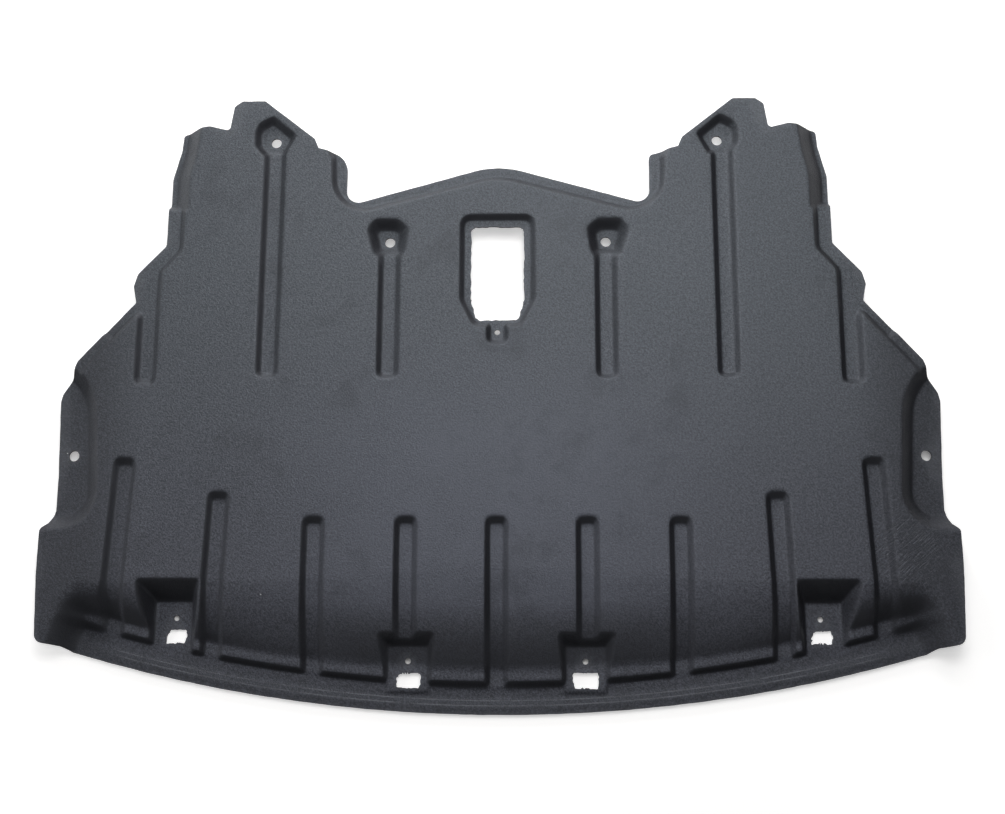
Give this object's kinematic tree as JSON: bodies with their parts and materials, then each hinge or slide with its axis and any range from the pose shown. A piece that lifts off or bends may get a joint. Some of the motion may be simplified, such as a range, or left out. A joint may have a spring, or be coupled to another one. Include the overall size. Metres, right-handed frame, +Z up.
{
  "type": "engine splash shield",
  "caption": "Formed plastic undertray for an engine bay: grooved panel with drawn-down flanges, bolt pockets, clip windows along the front and an access opening.",
  "frame": {"origin": "centre of the footprint, on the plane that the front flange rests on", "axes": "+X to the right across the width, +Y from the curved front edge towards the rear, +Z up, out of the side that faces the road"},
  "size_m": [0.941, 0.6563, 0.029],
  "materials": {
    "black_plastic": "satin, fine lengthwise grain"
  },
  "bodies": {
    "root": {"splash_shield": "black_plastic"}
  },
  "joints": []
}
